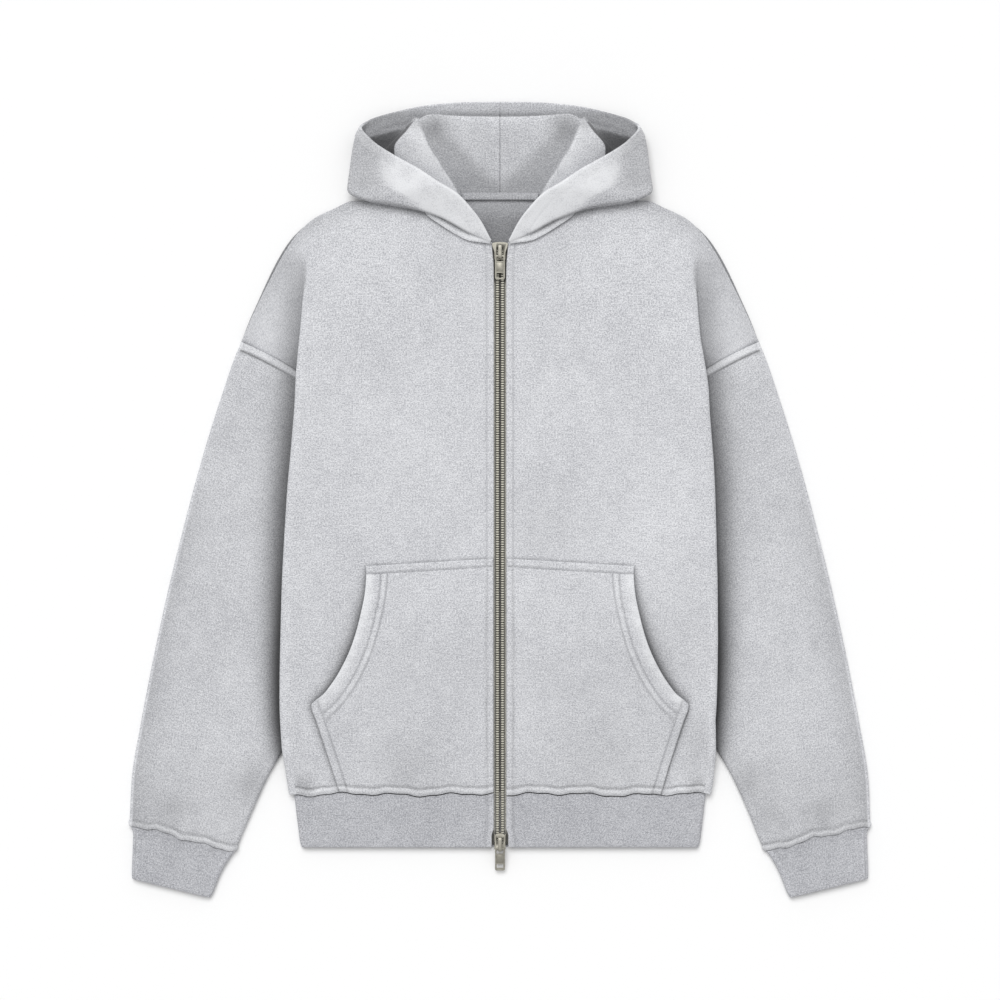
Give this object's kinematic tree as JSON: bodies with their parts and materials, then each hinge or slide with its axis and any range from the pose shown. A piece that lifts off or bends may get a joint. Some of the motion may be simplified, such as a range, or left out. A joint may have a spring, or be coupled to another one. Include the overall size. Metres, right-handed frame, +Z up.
{
  "type": "hoodie",
  "caption": "Oversized zip up hoodie laid flat and face up, with an open hood, dropped shoulders, split kangaroo pockets, a two-way metal zip and ribbed hem and cuffs.",
  "frame": {"origin": "middle of the laid out garment's outline, on the surface that it lies on", "axes": "+X across the chest to the wearer's left sleeve, +Y up the body from hem to hood, +Z up from the surface towards the viewer"},
  "size_m": [0.7792, 0.8369, 0.0371],
  "materials": {
    "heather_fleece": "brushed cotton fleece, heather grey, garment washed",
    "rib_knit": "ribbed cotton knit, heather grey, garment washed",
    "zip_tape": "woven grey tape",
    "zip_metal": "antique silver, slightly dulled"
  },
  "bodies": {
    "cloth": {"back": "heather_fleece", "front_left": "heather_fleece", "front_right": "heather_fleece", "sleeve_left": "heather_fleece", "sleeve_right": "heather_fleece", "cuff_left": "rib_knit", "cuff_right": "rib_knit", "hem_band": "rib_knit", "hood_left": "heather_fleece", "hood_right": "heather_fleece", "neck_tape": "heather_fleece", "pocket_left": "heather_fleece", "pocket_right": "heather_fleece", "zip_tape_left": "zip_tape", "zip_tape_right": "zip_tape", "zip_chain_left": "zip_metal", "zip_chain_right": "zip_metal", "slider_top": "zip_metal", "slider_bottom": "zip_metal"},
    "top_pull": {"pull_top": "zip_metal"},
    "bottom_pull": {"pull_bottom": "zip_metal"}
  },
  "joints": [
    {"name": "top_pull_swing", "type": "hinge", "parent": "cloth", "child": "top_pull", "pos_m": [0, 0.25572, 0.0124], "axis": [-1, 0, 0], "range_deg": [0, 110]},
    {"name": "bottom_pull_swing", "type": "hinge", "parent": "cloth", "child": "bottom_pull", "pos_m": [0, -0.3663, 0.0124], "axis": [-1, 0, 0], "range_deg": [0, 110]}
  ]
}
